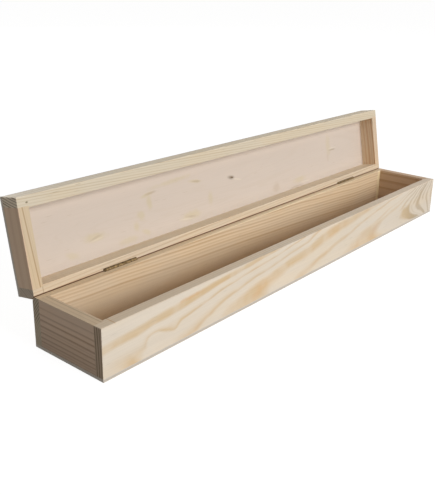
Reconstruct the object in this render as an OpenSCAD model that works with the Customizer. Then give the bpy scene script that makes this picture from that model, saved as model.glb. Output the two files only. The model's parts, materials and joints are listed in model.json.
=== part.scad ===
// Long hinged wooden box: a pine base and a pine lid, each closed by a plywood board, shown open.
// Millimetres. Origin at the centre of the underside, +X along the box, +Y towards the hinges, +Z up.

/* [Box] */
// Outside length
box_l = 750; // [330:1:1000]
// Outside width, front to back
box_w = 110; // [90:1:200]
// Height of the base with its plywood bottom
base_h = 60; // [40:1:120]
// Height of the lid with its plywood panel
lid_h = 30; // [28:1:60]

/* [Boards] */
// Thickness of the pine frame boards
board_t = 13; // [12:0.5:18]
// Thickness of the plywood bottom and of the lid panel
ply_t = 4; // [3:0.5:6]
// Depth of the rebates in the long rails that seat the end boards
rebate_d = 2; // [1:0.5:5]
// Gap between the two rims when the lid is closed
rim_gap = 0.4; // [0.4:0.1:1]

/* [Hinges] */
// Angle at which the open lid rests, with its rear bevel on the bevel of the base
open_angle = 100; // [95:1:110]
// Distance of the pivot line from the rear face
pivot_inset = 3.5; // [3:0.1:4]
// Distance of each hinge's middle from its own end of the box
hinge_from_end = 120; // [60:5:130]
// Length of a hinge
hinge_l = 50; // [40:1:60]
// Knuckles on a hinge, shared by its two leaves
knuckles = 5; // [3:2:7]
// Radius of a hinge pin
pin_r = 1.25; // [1:0.05:1.4]
// Thickness of the leaf sheet
leaf_t = 1; // [0.6:0.1:1.2]
// Depth of the curved saw kerf that takes a leaf
kerf_depth = 11.2; // [10:0.1:13]
// Clearance round the barrel in its channel
channel_play = 0.3; // [0.3:0.05:0.6]

/* [Brads] */
// Length of the brads that hold the plywood
ply_brad_l = 16; // [12:1:18]
// Brads along each long rail
ply_brads_per_rail = 7; // [4:1:9]
// Length of the brads that hold the hinge leaves
leaf_brad_l = 11.5; // [9:0.5:11.5]

/* [Hidden] */
$fn = 64;

// Each half of the box is drawn hanging below the pivot line, which is z = 0, and then placed.
rim_z = -rim_gap / 2;
pivot_y = box_w / 2 - pivot_inset;
pivot_z = base_h + rim_gap / 2;
base_frame_h = base_h - ply_t;
lid_frame_h = lid_h - ply_t;
end_board_w = box_w - 2 * (board_t - rebate_d);

// The rear bevels slope at half the opening angle and stop half a gap short of each other.
bevel_angle = open_angle / 2;
bevel_top_y = pivot_y - rim_gap / 2 * (1 - cos(bevel_angle)) / sin(bevel_angle);
bevel_foot_z = rim_z - (box_w / 2 - bevel_top_y) * tan(bevel_angle);

left_hinge_x = hinge_from_end - box_l / 2;
right_hinge_x = box_l / 2 - hinge_from_end;
running_play = 0.05;
knuckle_r = pin_r + running_play + leaf_t;
channel_r = knuckle_r + channel_play;
knuckle_pitch = hinge_l / knuckles;
knuckle_gap = 0.3;
knuckle_l = knuckle_pitch - knuckle_gap;
base_knuckles = [0:2:knuckles - 1];
lid_knuckles = [1:2:knuckles - 1];
roll_seam = 0.25;
roll_seam_angle = 40;
pin_l = hinge_l + 0.6;
pin_chamfer = 0.3;
slot_l = hinge_l + 1.3;
plate_top_z = -knuckle_r - 0.4;
kerf_r = (pow(slot_l / 2, 2) + pow(kerf_depth, 2)) / (2 * kerf_depth);
kerf_z = rim_z - kerf_depth + kerf_r;
kerf_play = 0.6;

leaf_brad_x = 0.28 * hinge_l;
leaf_brad_z = rim_z - 5.6;
leaf_hole_play = 0.15;
leaf_brad_r = 0.6;
ply_brad_r = 0.7;
head_per_shank = 1.7;
ply_brad_inset = 25;
past = 1;

// ---- placing ----

module in_base() {
    translate([0, 0, pivot_z]) children();
}

module in_lid() {
    translate([0, pivot_y, pivot_z]) rotate([-open_angle, 0, 0])
        translate([0, -pivot_y, 0]) mirror([0, 0, 1]) children();
}

// Turns a profile drawn in (y, z) into a bar along X, centred on x = 0.
module along_x(length) {
    translate([-length / 2, 0, 0]) rotate([90, 0, 90]) linear_extrude(length) children();
}

// ---- boards ----

module front_profile(frame_h) {
    translate([-box_w / 2, rim_z - frame_h]) square([board_t, frame_h]);
}

module back_profile(frame_h) {
    inner_y = box_w / 2 - board_t;
    polygon([[inner_y, rim_z - frame_h], [box_w / 2, rim_z - frame_h], [box_w / 2, bevel_foot_z],
             [bevel_top_y, rim_z], [inner_y, rim_z]]);
}

// The room that the end boards take out of the two rails.
module end_rebates(frame_h) {
    for (side = [-1, 1])
        translate([side * (box_l / 2 - board_t / 2 + past / 2), 0, rim_z - frame_h / 2])
            cube([board_t + past, end_board_w, frame_h + 2 * past], center = true);
}

module front_rail(frame_h) {
    difference() {
        along_x(box_l) front_profile(frame_h);
        end_rebates(frame_h);
        ply_brads(frame_h);
    }
}

module back_rail(frame_h) {
    difference() {
        along_x(box_l) back_profile(frame_h);
        end_rebates(frame_h);
        ply_brads(frame_h);
        for (x = [left_hinge_x, right_hinge_x]) translate([x, 0, 0]) {
            barrel_channel();
            leaf_kerf();
            leaf_brads();
        }
    }
}

module end_board(frame_h, side) {
    difference() {
        translate([side * (box_l / 2 - board_t / 2), 0, rim_z - frame_h / 2])
            cube([board_t, end_board_w, frame_h], center = true);
        ply_brads(frame_h);
    }
}

module plywood(frame_h) {
    difference() {
        translate([0, 0, rim_z - frame_h - ply_t / 2]) cube([box_l, box_w, ply_t], center = true);
        ply_brads(frame_h);
    }
}

// ---- hinge seats in the back rails ----

module barrel_channel() {
    translate([0, pivot_y, 0]) rotate([0, 90, 0]) cylinder(r = channel_r, h = slot_l, center = true);
}

module leaf_kerf() {
    translate([0, pivot_y, kerf_z]) rotate([90, 0, 0])
        cylinder(r = kerf_r, h = leaf_t, center = true, $fn = 180);
}

// ---- hinges ----

function knuckle_x(i) = -hinge_l / 2 + (i + 0.5) * knuckle_pitch;

// Half-moon that fits the curved kerf, with a neck up to each of its own knuckles.
module leaf_outline(own) {
    intersection() {
        translate([0, kerf_z]) circle(r = kerf_r - kerf_play, $fn = 180);
        union() {
            translate([-hinge_l / 2, -kerf_depth]) square([hinge_l, kerf_depth + plate_top_z]);
            for (i = own)
                translate([knuckle_x(i) - knuckle_l / 2, plate_top_z - past]) square([knuckle_l, past - plate_top_z]);
        }
    }
}

module hinge_leaf(own, bore_r) {
    translate([0, pivot_y, 0]) difference() {
        union() {
            rotate([90, 0, 0]) linear_extrude(leaf_t, center = true) leaf_outline(own);
            for (i = own) translate([knuckle_x(i), 0, 0]) rotate([0, 90, 0])
                cylinder(r = knuckle_r, h = knuckle_l, center = true);
        }
        rotate([0, 90, 0]) cylinder(r = bore_r, h = hinge_l + past, center = true);
        // The end of the rolled sheet stops just short of the leaf.
        for (i = own) translate([knuckle_x(i), 0, 0]) rotate([-roll_seam_angle, 0, 0])
            translate([0, 0, -knuckle_r]) cube([knuckle_l + past, roll_seam, 2 * knuckle_r - pin_r], center = true);
        for (side = [-1, 1]) translate([side * leaf_brad_x, 0, leaf_brad_z]) rotate([90, 0, 0])
            cylinder(r = leaf_brad_r + leaf_hole_play, h = leaf_t + past, center = true);
    }
}

module hinge_pin(x) {
    color("#4f4026") in_base() translate([x, pivot_y, 0]) rotate([0, 90, 0]) rotate_extrude()
        polygon([[0, -pin_l / 2], [pin_r - pin_chamfer, -pin_l / 2], [pin_r, -pin_l / 2 + pin_chamfer],
                 [pin_r, pin_l / 2 - pin_chamfer], [pin_r - pin_chamfer, pin_l / 2], [0, pin_l / 2]]);
}

module base_leaf(x) {
    color("#6b5733") in_base() translate([x, 0, 0]) hinge_leaf(base_knuckles, pin_r);
}

module lid_leaf(x) {
    color("#6b5733") in_lid() translate([x, 0, 0]) hinge_leaf(lid_knuckles, pin_r + running_play);
}

// ---- brads ----

// A brad with its head's top at the origin, pointing along +Z.
module brad(shank_r, length) {
    head_r = shank_r * head_per_shank;
    head_t = shank_r * 0.8;
    point_l = shank_r * 2;
    rotate_extrude($fn = 24)
        polygon([[0, 0], [head_r, 0], [head_r, head_t], [shank_r, head_t],
                 [shank_r, length - point_l], [0, length]]);
}

// Driven in from the rear face, through the hole in the leaf.
module leaf_brads() {
    for (side = [-1, 1])
        translate([side * leaf_brad_x, box_w / 2, leaf_brad_z]) rotate([90, 0, 0]) brad(leaf_brad_r, leaf_brad_l);
}

module hinge_brads_in_base(x) {
    color("#8a8c8e") in_base() translate([x, 0, 0]) leaf_brads();
}

module hinge_brads_in_lid(x) {
    color("#8a8c8e") in_lid() translate([x, 0, 0]) leaf_brads();
}

// Driven through the plywood into the frame, along both rails and once in each end board.
module ply_brads(frame_h) {
    reach = box_l / 2 - ply_brad_inset;
    step = 2 * reach / (ply_brads_per_rail - 1);
    translate([0, 0, rim_z - frame_h - ply_t]) {
        for (side = [-1, 1], i = [0:ply_brads_per_rail - 1])
            translate([i * step - reach, side * (box_w / 2 - board_t / 2), 0]) brad(ply_brad_r, ply_brad_l);
        for (side = [-1, 1])
            translate([side * (box_l / 2 - board_t / 2), 0, 0]) brad(ply_brad_r, ply_brad_l);
    }
}

// ---- base ----

module base_front() {
    color("#e8d6b4") in_base() front_rail(base_frame_h);
}

module base_back() {
    color("#dcc49c") in_base() back_rail(base_frame_h);
}

module base_left_end() {
    color("#e2cda6") in_base() end_board(base_frame_h, -1);
}

module base_right_end() {
    color("#e2cda6") in_base() end_board(base_frame_h, 1);
}

module base_bottom() {
    color("#d9c4a0") in_base() plywood(base_frame_h);
}

module base_bottom_brads() {
    color("#8a8c8e") in_base() ply_brads(base_frame_h);
}

// ---- lid ----

module lid_front_rail() {
    color("#e8d6b4") in_lid() front_rail(lid_frame_h);
}

module lid_back_rail() {
    color("#dcc49c") in_lid() back_rail(lid_frame_h);
}

module lid_left_end() {
    color("#e2cda6") in_lid() end_board(lid_frame_h, -1);
}

module lid_right_end() {
    color("#d9b98a") in_lid() end_board(lid_frame_h, 1);
}

module lid_panel() {
    color("#dcc8ae") in_lid() plywood(lid_frame_h);
}

module lid_panel_brads() {
    color("#8a8c8e") in_lid() ply_brads(lid_frame_h);
}

base_front();
base_back();
base_left_end();
base_right_end();
base_bottom();
lid_front_rail();
lid_back_rail();
lid_left_end();
lid_right_end();
lid_panel();
base_leaf(left_hinge_x);  // left_hinge_base_leaf
lid_leaf(left_hinge_x);  // left_hinge_lid_leaf
hinge_pin(left_hinge_x);  // left_hinge_pin
base_leaf(right_hinge_x);  // right_hinge_base_leaf
lid_leaf(right_hinge_x);  // right_hinge_lid_leaf
hinge_pin(right_hinge_x);  // right_hinge_pin
hinge_brads_in_base(left_hinge_x);  // left_hinge_base_brads
hinge_brads_in_lid(left_hinge_x);  // left_hinge_lid_brads
hinge_brads_in_base(right_hinge_x);  // right_hinge_base_brads
hinge_brads_in_lid(right_hinge_x);  // right_hinge_lid_brads
base_bottom_brads();
lid_panel_brads();
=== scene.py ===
import bpy
import bmesh
import json
import math
from mathutils import Matrix, Vector


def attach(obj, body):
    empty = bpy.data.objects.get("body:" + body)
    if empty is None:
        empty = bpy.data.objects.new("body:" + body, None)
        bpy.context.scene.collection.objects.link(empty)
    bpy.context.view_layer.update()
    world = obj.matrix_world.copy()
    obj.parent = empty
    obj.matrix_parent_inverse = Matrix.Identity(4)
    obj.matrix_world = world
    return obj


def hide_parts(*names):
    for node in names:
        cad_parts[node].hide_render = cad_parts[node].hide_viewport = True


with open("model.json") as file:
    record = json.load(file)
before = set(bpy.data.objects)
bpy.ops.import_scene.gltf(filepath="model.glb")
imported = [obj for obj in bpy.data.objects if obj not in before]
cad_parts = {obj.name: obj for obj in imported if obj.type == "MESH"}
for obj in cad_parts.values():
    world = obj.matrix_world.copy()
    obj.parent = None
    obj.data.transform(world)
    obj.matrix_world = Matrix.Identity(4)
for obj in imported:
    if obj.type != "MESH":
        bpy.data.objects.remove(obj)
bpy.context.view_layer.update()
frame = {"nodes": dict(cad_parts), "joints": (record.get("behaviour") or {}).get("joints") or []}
print("frame loaded:", len(frame["nodes"]), "nodes")

hinge = frame["joints"][0]
pivot = Vector(hinge["pos_m"])
openAngle = math.radians(hinge["range_deg"][1])


# small helpers for node trees
def feed(tree, socket, value):
    if isinstance(value, bpy.types.NodeSocket):
        tree.links.new(value, socket)
    else:
        socket.default_value = value


def feedAll(tree, sockets, values):
    for name, value in values.items():
        feed(tree, sockets[name], value)


def addNode(tree, kind, inputs=None, **settings):
    node = tree.nodes.new(kind)
    for name, value in settings.items():
        setattr(node, name, value)
    feedAll(tree, node.inputs, inputs or {})
    return node


def mathNode(tree, operation, a, b=0.0, c=0.0, clamp=False):
    inputs = {0: a, 1: b, 2: c}
    return addNode(tree, "ShaderNodeMath", inputs, operation=operation, use_clamp=clamp).outputs[0]


def times(tree, a, b, clamp=False):
    return mathNode(tree, "MULTIPLY", a, b, clamp=clamp)


def timesPlus(tree, a, b, c):
    return mathNode(tree, "MULTIPLY_ADD", a, b, c)


def plus(tree, a, b):
    return mathNode(tree, "ADD", a, b)


def minus(tree, a, b):
    return mathNode(tree, "SUBTRACT", a, b)


def vectorNode(tree, operation, a, b=None, scale=None, output=0):
    inputs = {0: a}
    if b is not None:
        inputs[1] = b
    if scale is not None:
        inputs["Scale"] = scale
    return addNode(tree, "ShaderNodeVectorMath", inputs, operation=operation).outputs[output]


def mapRange(tree, value, low, high, toLow=0.0, toHigh=1.0, kind="LINEAR"):
    inputs = {"Value": value, "From Min": low, "From Max": high, "To Min": toLow, "To Max": toHigh}
    return addNode(tree, "ShaderNodeMapRange", inputs, interpolation_type=kind).outputs["Result"]


def smoothStep(tree, value, low, high, toLow=0.0, toHigh=1.0):
    return mapRange(tree, value, low, high, toLow, toHigh, "SMOOTHSTEP")


def mixNumber(tree, factor, a, b):
    return addNode(tree, "ShaderNodeMix", {0: factor, 2: a, 3: b}, data_type="FLOAT").outputs[0]


def mixColour(tree, factor, a, b, blend="MIX"):
    inputs = {0: factor, 6: a, 7: b}
    return addNode(tree, "ShaderNodeMix", inputs, data_type="RGBA", blend_type=blend).outputs[2]


def tint(tree, colour, other):
    return mixColour(tree, 1.0, colour, other, "MULTIPLY")


def shade(tree, colour, tone):
    # the colour made darker or lighter by a number
    return tint(tree, colour, addNode(tree, "ShaderNodeCombineColor", {0: tone, 1: tone, 2: tone}).outputs[0])


def noise(tree, inputs, scale, detail, dimensions="3D"):
    inputs = {"Scale": scale, "Detail": detail, **inputs}
    return addNode(tree, "ShaderNodeTexNoise", inputs, noise_dimensions=dimensions).outputs


def splitXYZ(tree, vector):
    return addNode(tree, "ShaderNodeSeparateXYZ", {0: vector}).outputs


def joinXYZ(tree, x, y, z=0.0):
    return addNode(tree, "ShaderNodeCombineXYZ", {0: x, 1: y, 2: z}).outputs[0]


def facingAlong(tree, low, high):
    # 1 where the surface faces along X
    facing = splitXYZ(tree, addNode(tree, "ShaderNodeTexCoord").outputs["Normal"])[0]
    return smoothStep(tree, mathNode(tree, "ABSOLUTE", facing), low, high)


def toneRamp(tree, value, stops):
    # a grey ramp through (value, amount) stops, given in rising order
    low, high = stops[0][0], stops[-1][0]
    ramp = addNode(tree, "ShaderNodeValToRGB", {0: mapRange(tree, value, low, high)})
    points = ramp.color_ramp.elements
    for number, (where, amount) in enumerate(stops):
        share = (where - low) / (high - low)
        point = points[number] if number < 2 else points.new(share)
        point.position = share
        point.color = (amount, amount, amount, 1)
    return ramp.outputs["Color"]


usualKinds = {1: "Float", 3: "Vector", 4: "Color"}  # of sockets, by how many numbers they hold


def newGroup(name, inputs, outputs, kind="ShaderNodeTree"):
    # an input is given by its usual value, or by the kind of its socket where it has none
    tree = bpy.data.node_groups.new(name, kind)
    for label, value in inputs.items():
        named = isinstance(value, str)
        socketKind = value if named else usualKinds[len(value) if isinstance(value, tuple) else 1]
        socket = tree.interface.new_socket(label, in_out="INPUT", socket_type="NodeSocket" + socketKind)
        if not named:
            socket.default_value = value
    for label, socketKind in outputs.items():
        tree.interface.new_socket(label, in_out="OUTPUT", socket_type="NodeSocket" + socketKind)
    return tree, tree.nodes.new("NodeGroupInput").outputs, tree.nodes.new("NodeGroupOutput").inputs


def useGroup(tree, group, inputs):
    return addNode(tree, "ShaderNodeGroup", inputs, node_tree=group).outputs


def srgb(red, green, blue):
    def linear(v):
        v /= 255
        return v / 12.92 if v <= 0.04045 else ((v + 0.055) / 1.055) ** 2.4
    return (linear(red), linear(green), linear(blue), 1.0)


def freshTree(owner):
    owner.use_nodes = True
    owner.node_tree.nodes.clear()
    return owner.node_tree


def newMaterial(name):
    material = bpy.data.materials.new(name)
    tree = freshTree(material)
    shader = addNode(tree, "ShaderNodeBsdfPrincipled")
    addNode(tree, "ShaderNodeOutputMaterial", {"Surface": shader.outputs[0]})
    return material, tree, shader


def finishShader(tree, shader, colour, rough, relief, bump):
    bumped = addNode(tree, "ShaderNodeBump", {**bump, "Height": relief}).outputs[0]
    feedAll(tree, shader.inputs, {"Base Color": colour, "Roughness": rough, "Normal": bumped})


def newObject(name, data):
    item = bpy.data.objects.new(name, data)
    bpy.context.scene.collection.objects.link(item)
    return item


# the camera stands where the photograph was taken
photo = {"width": 435, "height": 495, "focal": 699.9, "middleX": 238.27, "middleY": 225.26}
eye = {"place": (-0.7629, -0.5309, 0.3786), "azimuth": 51.32, "elevation": -19.24, "roll": 1.50}


def makeCamera():
    azimuth, elevation, roll = (math.radians(eye[k]) for k in ("azimuth", "elevation", "roll"))
    forward = Vector((math.sin(azimuth) * math.cos(elevation),
                      math.cos(azimuth) * math.cos(elevation), math.sin(elevation)))
    right = Vector((math.cos(azimuth), -math.sin(azimuth), 0))
    up = right.cross(forward)
    rightRolled = right * math.cos(roll) + up * math.sin(roll)
    upRolled = up * math.cos(roll) - right * math.sin(roll)
    data = bpy.data.cameras.new("camera")
    data.sensor_width = 36
    data.lens = photo["focal"] * data.sensor_width / photo["height"]
    data.shift_x = (photo["width"] / 2 - photo["middleX"]) / photo["height"]
    data.shift_y = (photo["middleY"] - photo["height"] / 2) / photo["height"]
    data.clip_start, data.clip_end = 0.05, 100
    camera = newObject("camera", data)
    turn = Matrix((rightRolled, upRolled, -forward)).transposed().to_4x4()
    camera.matrix_world = Matrix.Translation(eye["place"]) @ turn
    bpy.context.scene.camera = camera


makeCamera()
print("camera made")


studio = {
    "floorSize": 60.0,
    "floorTone": 0.35,      # what the floor throws back on the box
    "floorSeenTone": 0.25,  # what the camera sees of its light and shadow
    "floorGlow": 0.91,      # and how much plain white lies under that
    "skyTone": (1.0, 0.985, 0.97, 1.0),
    "sky": 0.30,
    "target": (0, 0, 0.08),
    "lamps": [
        {"name": "windowLamp", "place": (0.45, -4.9, 2.05), "size": 2.6, "power": 215},
        {"name": "backFill", "place": (1.30, 4.6, 0.50), "size": 0.9, "power": 60}],
}


def makeWorld():
    # a pale sky, which the camera and shiny things see as white
    world = bpy.data.worlds.new("studioWorld")
    tree = freshTree(world)
    rays = addNode(tree, "ShaderNodeLightPath").outputs
    seen = mathNode(tree, "MAXIMUM", rays["Is Glossy Ray"], rays["Is Transmission Ray"])
    seen = mathNode(tree, "MAXIMUM", rays["Is Camera Ray"], seen)
    white = addNode(tree, "ShaderNodeBackground", {"Color": (1, 1, 1, 1), "Strength": 1.0})
    sky = addNode(tree, "ShaderNodeBackground", {"Color": studio["skyTone"], "Strength": studio["sky"]})
    mix = addNode(tree, "ShaderNodeMixShader", {0: seen, 1: sky.outputs[0], 2: white.outputs[0]})
    addNode(tree, "ShaderNodeOutputWorld", {"Surface": mix.outputs[0]})
    bpy.context.scene.world = world


def makeFloor():
    half = studio["floorSize"] / 2
    mesh = bpy.data.meshes.new("floor")
    corners = [(-half, -half, 0), (half, -half, 0), (half, half, 0), (-half, half, 0)]
    mesh.from_pydata(corners, [], [(0, 1, 2, 3)])
    floor = newObject("floor", mesh)
    material = bpy.data.materials.new("floorPaper")
    tree = freshTree(material)
    rays = addNode(tree, "ShaderNodeLightPath").outputs
    seen = mathNode(tree, "MAXIMUM", rays["Is Camera Ray"], rays["Is Glossy Ray"])
    tone, seenTone = studio["floorTone"], studio["floorSeenTone"]
    matt = addNode(tree, "ShaderNodeBsdfDiffuse", {"Color": (tone, tone, tone, 1)})
    mattSeen = addNode(tree, "ShaderNodeBsdfDiffuse", {"Color": (seenTone, seenTone, seenTone, 1)})
    glow = addNode(tree, "ShaderNodeEmission", {"Color": (1, 1, 1, 1), "Strength": studio["floorGlow"]})
    paper = addNode(tree, "ShaderNodeAddShader", {0: mattSeen.outputs[0], 1: glow.outputs[0]})
    mix = addNode(tree, "ShaderNodeMixShader", {0: seen, 1: matt.outputs[0], 2: paper.outputs[0]})
    addNode(tree, "ShaderNodeOutputMaterial", {"Surface": mix.outputs[0]})
    mesh.materials.append(material)


def makeLamps():
    for spec in studio["lamps"]:
        data = bpy.data.lights.new(spec["name"], "AREA")
        data.size = spec["size"]
        data.energy = spec["power"]
        lamp = newObject(spec["name"], data)
        lamp.location = spec["place"]
        lamp.rotation_mode = "QUATERNION"
        aim = Vector(studio["target"]) - Vector(spec["place"])
        lamp.rotation_quaternion = aim.to_track_quat("-Z", "Y")


bpy.context.scene.view_settings.view_transform = "Standard"
makeWorld()
makeFloor()
makeLamps()
print("studio made")


# pine: growth rings, latewood and fibres
ringWaves = {"stretch": (0.35, 1.0, 1.0), "scale": 6.0}  # how the years wander, less along the grain


def makeRingGroup():
    # distance from the heart of the tree, counted in years; the grain runs along X
    tree, given, wanted = newGroup("growthRings", {
        "Vector": (0, 0, 0), "Heart": (0, 0, 0), "Lean": (0, 0, 0), "Year": 0.003, "Wander": 0.004,
        "Seed": 0.0}, {"Rings": "Float"})
    along = splitXYZ(tree, given["Vector"])[0]
    stretched = vectorNode(tree, "MULTIPLY", given["Vector"], ringWaves["stretch"])
    wave = noise(tree, {"Vector": stretched, "W": given["Seed"]}, ringWaves["scale"], 2.0, "4D")
    centred = vectorNode(tree, "SUBTRACT", wave["Color"], (0.5, 0.5, 0.5))
    moved = vectorNode(tree, "SCALE", centred, scale=given["Wander"])
    leaning = vectorNode(tree, "SCALE", given["Lean"], scale=along)
    offset = vectorNode(tree, "SUBTRACT", given["Vector"], given["Heart"])
    offset = vectorNode(tree, "ADD", vectorNode(tree, "ADD", offset, leaning), moved)
    across = vectorNode(tree, "MULTIPLY", offset, (0, 1, 1))
    radius = vectorNode(tree, "LENGTH", across, output="Value")
    tree.links.new(mathNode(tree, "DIVIDE", radius, given["Year"]), wanted["Rings"])
    return tree


yearShape = {
    # the shares of a year at which its latewood is full, begins to end and has ended
    "full": 0.90, "ends": (0.93, 1.0),
    "weakest": 0.4,  # the share of its colour that the palest year keeps
    "uneven": 0.45,  # how often years grow wider and narrower
}


def makeLatewoodGroup():
    # how much latewood a point of the ring count holds: a slow rise, then a sharp edge
    tree, given, wanted = newGroup("latewood", {
        "Rings": 0.0, "Rise": 0.35, "Uneven": 0.5, "Seed": 0.0}, {"Late": "Float"})
    uneven = noise(tree, {"W": given["Rings"]}, yearShape["uneven"], 1.0, "1D")["Fac"]
    rings = timesPlus(tree, uneven, given["Uneven"], given["Rings"])
    rings = plus(tree, rings, given["Seed"])
    part = mathNode(tree, "FRACT", rings)
    rise = smoothStep(tree, part, given["Rise"], yearShape["full"])
    fall = smoothStep(tree, part, *yearShape["ends"], 1.0, 0.0)
    tone = addNode(tree, "ShaderNodeTexWhiteNoise", {"W": mathNode(tree, "FLOOR", rings)},
                   noise_dimensions="1D").outputs["Value"]
    strength = timesPlus(tree, tone, 1 - yearShape["weakest"], yearShape["weakest"])
    tree.links.new(times(tree, times(tree, rise, fall), strength), wanted["Late"])
    return tree


fibreScales = {
    # how many times a metre each kind of mark comes again, along the grain and across it
    "streaks": (16, 1100, 1100), "canals": (20, 260, 260), "patches": (7, 40, 40), "warmth": (12, 45, 45),
}


def makeFibreGroup():
    # fine streaks along X, short resin canals, and soft patches of tone
    tree, given, wanted = newGroup("woodFibre", {"Vector": (0, 0, 0), "Seed": 0.0}, {
        "Streaks": "Float", "Canals": "Float", "Patches": "Float", "Warmth": "Float"})
    shifted = vectorNode(tree, "ADD", given["Vector"], given["Seed"])
    thin, short, wide, warm = (vectorNode(tree, "MULTIPLY", shifted, fibreScales[kind])
                               for kind in ("streaks", "canals", "patches", "warmth"))
    streaks = noise(tree, {"Vector": thin, "Roughness": 0.6}, 1.0, 3.0)["Fac"]
    cells = addNode(tree, "ShaderNodeTexVoronoi", {"Vector": short, "Scale": 1.0}, feature="F1")
    canals = smoothStep(tree, cells.outputs["Distance"], 0.05, 0.13, 1.0, 0.0)
    patches = noise(tree, {"Vector": wide}, 1.0, 3.0)["Fac"]
    warmth = smoothStep(tree, noise(tree, {"Vector": warm}, 1.0, 1.0)["Fac"], 0.36, 0.64)
    feedAll(tree, wanted, {"Streaks": streaks, "Canals": canals, "Patches": patches, "Warmth": warmth})
    return tree


def woodTone(tree, wood, tone, shades):
    # a tone after the wood's own marks, given as (kind, how much it lightens, tone without it)
    for kind, gain, least in shades:
        tone = times(tree, tone, timesPlus(tree, wood[kind], gain, least))
    return tone


planed = {
    "coolEarly": (0.985, 0.99, 1.0, 1), "warmEarly": (1.0, 0.985, 0.955, 1), "warmLate": (1.0, 0.93, 0.84, 1),
    "endYears": (0.42, 0.38, 0.34, 1),  # the years' colour on sawn ends, against the end colour
    "endFacing": (0.55, 0.85),          # a face turned this much along X is sawn end
    "calm": 0.2,                        # what is left of the years' contrast where they fade out
    "patchy": (0.7, 0.62),              # latewood gained with the patches, and without them
    "shades": (("Patches", 0.10, 0.955), ("Streaks", 0.16, 0.92), ("Canals", -0.13, 1.0)),
    "roughness": 0.52, "streakRoughness": 0.18, "lateRoughness": -0.06, "endRoughness": 0.15,
    "lateHeight": 0.6, "bump": {"Strength": 0.35, "Distance": 0.00015}, "specular": 0.35,
}


def makePineGroup(latewood, fibre):
    # the colour, roughness and relief of planed pine, from its ring count or from a mask of its own
    tree, given, wanted = newGroup("planedPine", {
        "Vector": (0, 0, 0), "Rings": 0.0, "Own Mask": 0.0, "Own Share": 0.0,
        "Early Wood": (0.7, 0.6, 0.45, 1), "Late Wood": (0.5, 0.35, 0.2, 1), "Contrast": 1.0,
        "End Grain": 0.0, "End Colour": (0.3, 0.22, 0.15, 1), "End Contrast": 1.25, "Tone": 1.0,
        "Mark": 0.0, "Mark Colour": (0.3, 0.22, 0.15, 1), "Rise": 0.35, "Uneven": 0.5, "Seed": 0.0},
        {"Color": "Color", "Roughness": "Float", "Height": "Float"})
    rings = useGroup(tree, latewood, {name: given[name] for name in ("Rings", "Rise", "Uneven", "Seed")})
    wood = useGroup(tree, fibre, {"Vector": given["Vector"], "Seed": given["Seed"]})
    late = mixNumber(tree, given["Own Share"], rings["Late"], given["Own Mask"])
    amount = times(tree, late, given["Contrast"], clamp=True)
    amount = times(tree, amount, timesPlus(tree, wood["Patches"], *planed["patchy"]), clamp=True)
    lateWarm = tint(tree, given["Late Wood"], planed["warmLate"])
    lateTone = mixColour(tree, wood["Warmth"], given["Late Wood"], lateWarm)
    earlyCool = tint(tree, given["Early Wood"], planed["coolEarly"])
    earlyWarm = tint(tree, given["Early Wood"], planed["warmEarly"])
    body = mixColour(tree, amount, mixColour(tree, wood["Warmth"], earlyCool, earlyWarm), lateTone)
    striped = times(tree, rings["Late"], given["End Contrast"], clamp=True)
    ends = mixColour(tree, striped, given["End Colour"], tint(tree, given["End Colour"], planed["endYears"]))
    body = mixColour(tree, given["End Grain"], body, ends)
    # marks, and painted light and shade, laid over the wood
    body = mixColour(tree, given["Mark"], body, given["Mark Colour"])
    tone = woodTone(tree, wood, given["Tone"], planed["shades"])
    rough = timesPlus(tree, wood["Streaks"], planed["streakRoughness"], planed["roughness"])
    rough = timesPlus(tree, amount, planed["lateRoughness"], rough)
    rough = timesPlus(tree, given["End Grain"], planed["endRoughness"], rough)
    relief = minus(tree, timesPlus(tree, amount, planed["lateHeight"], wood["Streaks"]), wood["Canals"])
    feedAll(tree, wanted, {"Color": shade(tree, body, tone), "Roughness": rough, "Height": relief})
    return tree


markGrain = 130.0  # how fine the ragged edge of a mark is


def makeMarkGroup():
    # a soft spot on a flat face, ragged at its edge
    tree, given, wanted = newGroup("softMark", {
        "Vector": (0, 0, 0), "Centre": (0, 0, 0), "Half Size": (0.01, 0.01, 1), "Turn": 0.0,
        "Ragged": 0.5, "Sharp": 0.3}, {"Mask": "Float"})
    offset = vectorNode(tree, "SUBTRACT", given["Vector"], given["Centre"])
    turned = addNode(tree, "ShaderNodeVectorRotate", {"Vector": offset, "Angle": given["Turn"]},
                     rotation_type="Z_AXIS").outputs[0]
    flat = vectorNode(tree, "MULTIPLY", turned, (1, 1, 0))
    share = vectorNode(tree, "LENGTH", vectorNode(tree, "DIVIDE", flat, given["Half Size"]), output="Value")
    rough = noise(tree, {"Vector": given["Vector"]}, markGrain, 2.0)["Fac"]
    share = timesPlus(tree, minus(tree, rough, 0.5), given["Ragged"], share)
    tree.links.new(smoothStep(tree, share, given["Sharp"], 1.0, 1.0, 0.0), wanted["Mask"])
    return tree


ringGroup = makeRingGroup()
latewoodGroup = makeLatewoodGroup()
fibreGroup = makeFibreGroup()
pineGroup = makePineGroup(latewoodGroup, fibreGroup)
markGroup = makeMarkGroup()
print("wood groups made")


def bodyOf(name):
    return "lid" if "lid" in name else "base"


def camelName(name):
    first, *others = name.split("_")
    return first + "".join(word.capitalize() for word in others)


def closingMatrix(nodeName):
    # turns a lid piece back to where it lies with the lid shut
    if bodyOf(nodeName) == "base":
        return Matrix.Identity(4)
    turn = Matrix.Rotation(openAngle, 4, "X")
    return Matrix.Translation(pivot) @ turn @ Matrix.Translation(-pivot)


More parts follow.
